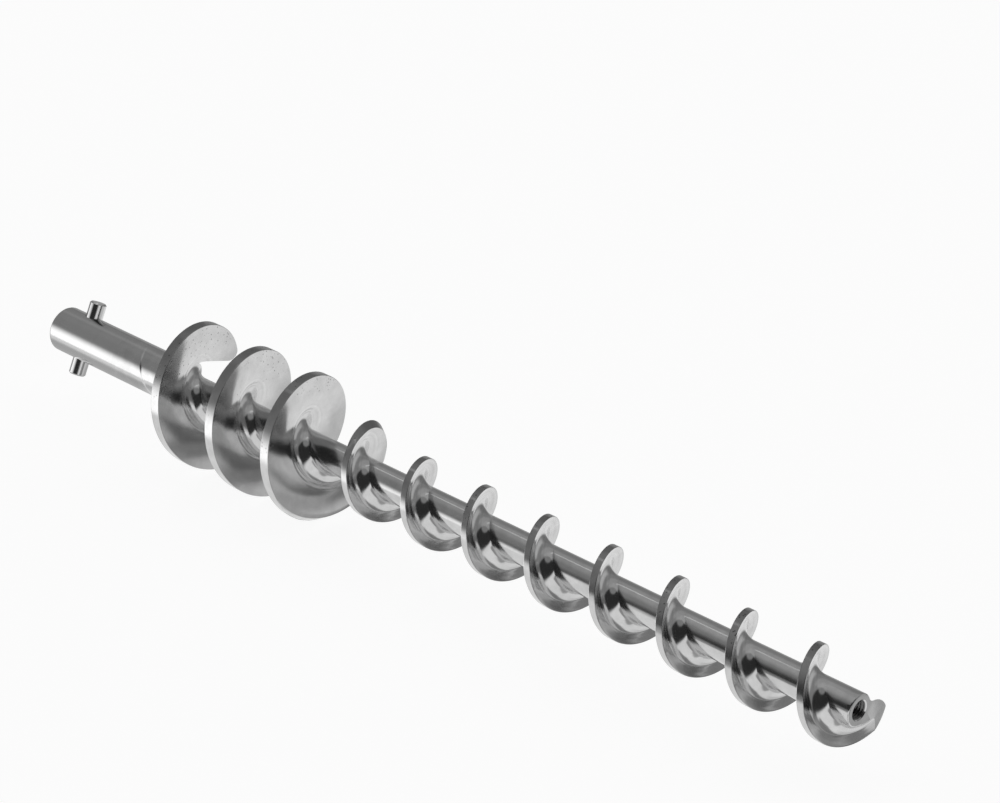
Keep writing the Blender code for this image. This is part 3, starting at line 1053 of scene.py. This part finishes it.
@dataclass(frozen=True)
class FlightingSteel(Steel):
    """The flighting's finish: mottled, with turned rings and specks, and with painted shade on the lands'
    tops and in the tapped hole.
    """

    lift: float = -0.09
    mottle: float = 0.18
    ring_contrast: float = 0.2
    # painted shade: how much the lands' tops are darkened
    land_top_painted_shade: float = 0.5
    specks_a_metre: float = 520.0
    speck_depth: float = 0.3
    # painted shade: how much the inside of the tapped hole is darkened
    hole_painted_shade: float = 0.75
    hole_roughness: float = 0.2
    flights: Flighting = field(default_factory=Flighting)

    def wear_and_painted_shade(self, spot: Spot, tone: object, rough: object) -> tuple[object, object]:
        """Lay the traces and the painted shade over the plain steel, each on top of the ones before it.

        Args:
            spot: the surface point.
            tone: the brightness so far.
            rough: the roughness so far.

        Returns:
            The new brightness and roughness.
        """
        board = spot.board
        mottle = board.noise(spot.place, 230.0, 3.0)
        rings = self.turned_rings(spot)
        tone = board.total(self.lift, (tone, 1.0), (mottle, self.mottle), (rings, self.ring_contrast))
        # Painted shade: the tops of the lands are darkened towards the top of the screw.
        tone = board.product(tone, board.total(1.0, (self.land_top_shade_mask(spot), -self.land_top_painted_shade)))
        speck = self.specks(spot)
        tone = board.total(tone, (speck, -self.speck_depth))
        rough = board.total(rough, (speck, self.speck_depth))
        inside = self.in_hole(spot)
        # Painted shade: the inside of the tapped hole is darkened; it is also made rougher.
        tone = board.product(tone, board.total(1.0, (inside, -self.hole_painted_shade)))
        return tone, board.total(rough, (inside, self.hole_roughness))

    def turned_rings(self, spot: Spot) -> bpy.types.NodeSocket:
        """Return light and dark rings round the upper roots, as noise along the radius.

        Args:
            spot: the surface point.

        Returns:
            The rings, from -0.5 to 0.5, faded out away from the roots and below the axis.
        """
        board = spot.board
        rings = board.noise(board.total(spot.radius, (spot.clouds, 0.0005)), 800.0, 2.0, flat=True)
        near_root = board.remap(spot.radius, 19.0 * MM, 16.0 * MM)
        above = board.remap(spot.z, -5.0 * MM, 5.0 * MM)
        return board.product(board.math("SUBTRACT", rings, 0.5), board.product(near_root, above))

    def land_top_shade_mask(self, spot: Spot) -> bpy.types.NodeSocket:
        """Return the painted shade on the lands: 1 on their tops, less down their sides and 0 on the
        flanks.

        A point is on a land where its radius is the turned outer radius there.

        Args:
            spot: the surface point.

        Returns:
            How much painted shade the point gets on the top of a land.
        """
        board, flights = spot.board, self.flights
        cone = (flights.cone_start_x * MM, flights.cone_end_x * MM)
        radii = (flights.large_radius * MM, flights.small_radius * MM)
        outside = board.remap(spot.x, *cone, *radii, eased=False)
        land = board.remap(board.math("SUBTRACT", spot.radius, outside), -0.35 * MM, -0.2 * MM)
        return board.product(land, board.remap(board.math("DIVIDE", spot.z, spot.radius), 0.35, 1.0))

    def specks(self, spot: Spot) -> bpy.types.NodeSocket:
        """Return small specks that gather in patches on the upper parts of the wide faces.

        A speck is where the distance to the nearest point of a scattered set is small.

        Args:
            spot: the surface point.

        Returns:
            How much of a speck is at the point.
        """
        board = spot.board
        cells = board.add("NodeTexVoronoi", Vector=spot.place, Scale=self.specks_a_metre)
        near = board.remap(cells.outputs["Distance"], 0.1, 0.25, 1.0, 0.0)
        where = board.product(board.remap(spot.smears, 0.43, 0.57), spot.outer)
        return board.product(near, board.product(where, board.remap(spot.z, 7.0 * MM, 14.0 * MM)))

    def in_hole(self, spot: Spot) -> bpy.types.NodeSocket:
        """Return 1 inside the tapped hole, where the painted shade goes, and 0 elsewhere.

        Args:
            spot: the surface point.

        Returns:
            How far the point is inside.
        """
        board, wall = spot.board, self.flights.major_radius
        within = board.remap(spot.radius, (wall + 0.15) * MM, wall * MM)
        bottom = SCREW_LENGTH - self.flights.hole_depth - 1.0
        return board.product(within, board.math("GREATER_THAN", spot.x, bottom * MM))


FLIGHTING_STEEL = FlightingSteel(
    "flighting_steel", Grain.TURNED_FACE, satin=0.03, cloud=0.09, mark_gap=1.7, mark_height=0.0006
)
SHANK_STEEL = Steel("shank_steel", Grain.TURNED_BAR)
PIN_STEEL = Steel("pin_steel", Grain.GROUND_PIN, tone=0.7, roughness=0.07, ripple_height=0.002)


@dataclass(frozen=True)
class Panel:
    """A soft light or a dark card of the studio, as the screw sees it.

    Angles are degrees: azimuth from +X towards +Y, and elevation above the horizon. The panel
    reaches half its width and height from its middle and fades out over the softness.
    """

    name: str
    azimuth: float
    elevation: float
    half_width: float
    half_height: float
    softness: float
    level: float


PANELS = (
    Panel("overhead", 130.0, 80.0, 90.0, 18.0, 20.0, 0.42),
    Panel("upper_wall", 100.0, 50.0, 50.0, 6.0, 16.0, 0.36),
    Panel("wall_foot", 140.0, -3.0, 55.0, 12.0, 8.0, 0.2),
    Panel("far_window", 60.0, 1.0, 10.0, 6.0, 12.0, 0.52),
    Panel("dark_card", 305.0, 34.0, 68.0, 22.0, 10.0, 0.03),
    Panel("floor_glow", 0.0, -90.0, 180.0, 68.0, 9.0, 0.88),
    Panel("floor_far", 22.0, -12.0, 18.0, 8.0, 8.0, 0.42),
    Panel("floor_end", 28.0, -33.0, 24.0, 12.0, 8.0, 0.66),
    Panel("rear_shade", 152.0, -12.0, 30.0, 12.0, 10.0, 0.36),
    Panel("bench", 303.0, -45.0, 50.0, 47.0, 9.0, 0.88),
    Panel("bench_side", 262.0, -42.0, 14.0, 26.0, 10.0, 0.32),
    Panel("bench_gap", 357.0, -15.0, 11.0, 9.0, 7.0, 0.24),
    # painted shadow: a dim patch below the screw stands in for its shadow on the floor, as its
    # reflections see it
    Panel("screw_shadow_below", 285.0, -90.0, 40.0, 27.0, 14.0, 0.4),
    Panel("floor_before", 226.0, -50.0, 20.0, 40.0, 8.0, 0.88),
)


def reflected_sheet(name: str, points: list, faces: list) -> tuple[bpy.types.Object, NodeBoard]:
    """Return a glowing sheet that only reflections see, and its material's nodes.

    Args:
        name: the sheet's name.
        points: its corners in metres.
        faces: its faces as corner numbers.

    Returns:
        The sheet, and the board with a node named Weight that mixes clear and glow.
    """
    mesh = bpy.data.meshes.new(name)
    mesh.from_pydata(points, [], faces)
    sheet = linked(name, mesh)
    material = bpy.data.materials.new(name)
    material.use_nodes = True
    board = NodeBoard(material.node_tree)
    board.tree.nodes.remove(board.tree.nodes["Principled BSDF"])
    both = board.tree.nodes.new("ShaderNodeMixShader")
    both.name = "Weight"
    board.feed(both.inputs[1], board.add("NodeBsdfTransparent").outputs["BSDF"])
    board.feed(board.tree.nodes["Material Output"].inputs["Surface"], both.outputs["Shader"])
    material.cycles.emission_sampling = "NONE"
    mesh.materials.append(material)
    for ray in ("camera", "diffuse", "transmission", "volume_scatter", "shadow"):
        setattr(sheet, "visible_" + ray, False)
    return sheet, board


def set_glow(board: NodeBoard, weight: object, level: object) -> None:
    """Give a reflected sheet its glow.

    Args:
        board: the nodes of the sheet's material.
        weight: how solid the sheet is, from 0 to 1.
        level: how bright it is.
    """
    both = board.tree.nodes["Weight"]
    board.feed(both.inputs[0], weight)
    board.feed(both.inputs[2], board.add("NodeEmission", Strength=level).outputs["Emission"])


@dataclass(frozen=True)
class Softbox:
    """The main light: an upright sheet near the screw's drive end.

    Lengths are metres. The sheet stands across Y. Its brightness is even up to fade_start along X
    and falls from there in a straight line. It fades out upwards, sooner from droop_start on, and at
    its far end.
    """

    left: float = -1.2
    right: float = 0.08
    depth: float = -0.5
    low_left: float = -0.244
    low_right: float = -0.09
    slope_start: float = -0.37
    slope_end: float = -0.2
    top: float = 0.34
    level: float = 1.55
    fade_start: float = -0.24
    fade_rate: float = 2.9
    droop_start: float = -0.3
    droop: float = 0.7
    soft_from: float = -0.02
    end_softness: float = 0.06

    def build(self) -> bpy.types.Object:
        """Return the sheet, a strip with a sloped step in its lower edge."""
        edge = [(self.left, self.low_left), (self.slope_start, self.low_left)]
        edge += [(self.slope_end, self.low_right), (self.right, self.low_right)]
        points = [(x, self.depth, z) for x, z in edge] + [(x, self.depth, self.top) for x, _ in edge]
        sheet, board = reflected_sheet("softbox", points, [(k, k + 1, k + 5, k + 4) for k in range(3)])
        x, _, z = board.parts(board.add("NodeTexCoord").outputs["Object"])
        beyond = board.math("MAXIMUM", board.math("SUBTRACT", x, self.fade_start), 0.0)
        aside = board.math("MAXIMUM", board.math("SUBTRACT", x, self.droop_start), 0.0)
        upwards = board.remap(z, self.soft_from, board.total(self.top, (aside, -self.droop)), 1.0, 0.0)
        endwards = board.remap(x, self.right - self.end_softness, self.right, 1.0, 0.0)
        level = board.total(self.level, (beyond, -self.fade_rate))
        set_glow(board, board.product(upwards, endwards), level)
        return sheet


@dataclass(frozen=True)
class LevelSheet:
    """A level sheet that only reflections see: dimmer floor or a soft strip overhead.

    Lengths are metres. It fades out over the softness at all four edges.
    """

    name: str
    middle: tuple[float, float, float]
    half_x: float
    half_y: float
    softness: float
    level: float

    def build(self) -> bpy.types.Object:
        """Return the sheet. Its weight is the eased fade along X times the same along Y."""
        mid_x, mid_y, height = self.middle
        signs = ((-1.0, -1.0), (1.0, -1.0), (1.0, 1.0), (-1.0, 1.0))
        points = [(mid_x + i * self.half_x, mid_y + j * self.half_y, height) for i, j in signs]
        sheet, board = reflected_sheet(self.name, points, [(0, 1, 2, 3)])
        x, y, _ = board.parts(board.add("NodeTexCoord").outputs["Object"])
        fade_x = board.remap(board.distance(x, mid_x), self.half_x - self.softness, self.half_x, 1.0, 0.0)
        fade_y = board.remap(board.distance(y, mid_y), self.half_y - self.softness, self.half_y, 1.0, 0.0)
        set_glow(board, board.product(fade_x, fade_y), self.level)
        return sheet


LEVEL_SHEETS = (
    LevelSheet("foot_shade", (-0.0725, 0.005, -0.0316), 0.1275, 0.055, 0.02, 0.5),
    LevelSheet("overhead_strip", (0.02, 0.095, 0.4), 0.2, 0.03, 0.025, 0.85),
)


@dataclass
class Studio:
    """The plain pale floor, the soft light all round and the camera."""

    floor_z: float = -31.9
    floor_half: float = 3.0
    floor_tone: float = 0.3
    floor_glow: float = 0.9
    room_level: float = 0.25
    backdrop_level: float = 1.0
    camera_place: tuple[float, float, float] = (1.111684, -0.864469, 0.696198)
    azimuth_deg: float = 43.7676
    elevation_deg: float = 27.8232
    lens_mm: float = 118.64

    def add_floor(self) -> bpy.types.Object:
        """Return the floor, a plain square under the flights that reflections don't see."""
        half, z = self.floor_half, self.floor_z * MM
        mesh = bpy.data.meshes.new("floor")
        corners = [(-half, -half, z), (half, -half, z), (half, half, z), (-half, half, z)]
        mesh.from_pydata(corners, [], [(0, 1, 2, 3)])
        floor = linked("floor", mesh)
        material = bpy.data.materials.new("pale_floor")
        material.use_nodes = True
        shader = material.node_tree.nodes["Principled BSDF"]
        shader.inputs["Base Color"].default_value = (*(3 * [self.floor_tone]), 1.0)
        shader.inputs["Roughness"].default_value = 1.0
        shader.inputs["Specular IOR Level"].default_value = 0.0
        shader.inputs["Emission Color"].default_value = (1.0, 1.0, 1.0, 1.0)
        shader.inputs["Emission Strength"].default_value = self.floor_glow
        material.cycles.emission_sampling = "NONE"
        mesh.materials.append(material)
        floor.visible_glossy = False
        return floor

    def add_world(self) -> None:
        """Set the light all round from the panels, each laid over the ones before it.

        The direction's elevation is the arcsine of its height, and its azimuth the arctangent of its
        two level parts. A panel's weight is the eased fade of the distance from its middle in width
        times the same in height. The camera sees a plain pale room instead.
        """
        world = bpy.data.worlds.new("room")
        world.use_nodes = True
        board = NodeBoard(world.node_tree)
        x, y, z = board.parts(board.add("NodeTexCoord").outputs["Generated"])
        elevation = board.product(board.math("ARCSINE", z), math.degrees(1.0))
        azimuth = board.product(board.math("ARCTAN2", y, x), math.degrees(1.0))
        level: object = self.room_level
        for panel in PANELS:
            turned = board.math("SUBTRACT", azimuth, panel.azimuth)
            aside = board.math("ABSOLUTE", board.math("WRAP", turned, 180.0, -180.0))
            above = board.distance(elevation, panel.elevation)
            width = board.remap(aside, panel.half_width, panel.half_width + panel.softness, 1.0, 0.0)
            height = board.remap(above, panel.half_height, panel.half_height + panel.softness, 1.0, 0.0)
            gain = board.math("SUBTRACT", panel.level, level)
            level = board.math("MULTIPLY_ADD", gain, board.product(width, height), level)
        seen = board.add("NodeLightPath").outputs["Is Camera Ray"]
        shown = board.blend(seen, level, self.backdrop_level)
        colour = board.add("NodeCombineColor", Red=shown, Green=shown, Blue=shown).outputs["Color"]
        board.feed(world.node_tree.nodes["Background"].inputs["Color"], colour)
        bpy.context.scene.world = world

    def add_camera(self) -> bpy.types.Object:
        """Return the camera, at the photograph's place and angle."""
        data = bpy.data.cameras.new("camera")
        data.lens = self.lens_mm
        data.sensor_width = 36.0
        data.sensor_fit = "HORIZONTAL"
        data.clip_start = 0.01
        camera = linked("camera", data)
        camera.location = self.camera_place
        tilt, turn = math.radians(90.0 - self.elevation_deg), math.radians(self.azimuth_deg)
        camera.rotation_euler = (tilt, 0.0, turn)
        bpy.context.scene.camera = camera
        return camera

    def build(self) -> None:
        """Set up the floor, the lights and the camera."""
        self.add_floor()
        Softbox().build()
        for sheet in LEVEL_SHEETS:
            sheet.build()
        self.add_camera()
        self.add_world()
        bpy.context.scene.view_settings.view_transform = "Standard"
        bpy.context.scene.view_settings.look = "None"


def hand_over(piece: bpy.types.Object, steel: Steel, nodes: list[str]) -> None:
    """Dress a piece, attach it to the root body and hide the CAD nodes that it stands for.

    Args:
        piece: the finished piece.
        steel: its finish.
        nodes: the names of the CAD nodes that it replaces.
    """
    piece.data.materials.clear()
    piece.data.materials.append(steel.material())
    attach(piece, "root")
    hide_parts(*nodes)
    LOG.info("%s: %d points, %d faces", piece.name, len(piece.data.vertices), len(piece.data.polygons))


def main() -> None:
    """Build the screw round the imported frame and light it."""
    logging.basicConfig(level=logging.INFO, format="%(name)s %(message)s")
    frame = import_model()
    flights = [name for name in frame["nodes"] if "flight" in name]
    cores = [name for name in frame["nodes"] if "core" in name]
    flighting = Flighting()
    pin = CrossPin()
    shank = DriveShank(end_x=float(flighting.start_x()))
    hand_over(flighting.build(), FLIGHTING_STEEL, flights + cores + ["helical_shoulder"])
    hand_over(shank.build(pin), SHANK_STEEL, ["drive_shank"])
    hand_over(pin.build(), PIN_STEEL, ["cross_pin"])
    Studio().build()


if __name__ == "__main__":
    main()
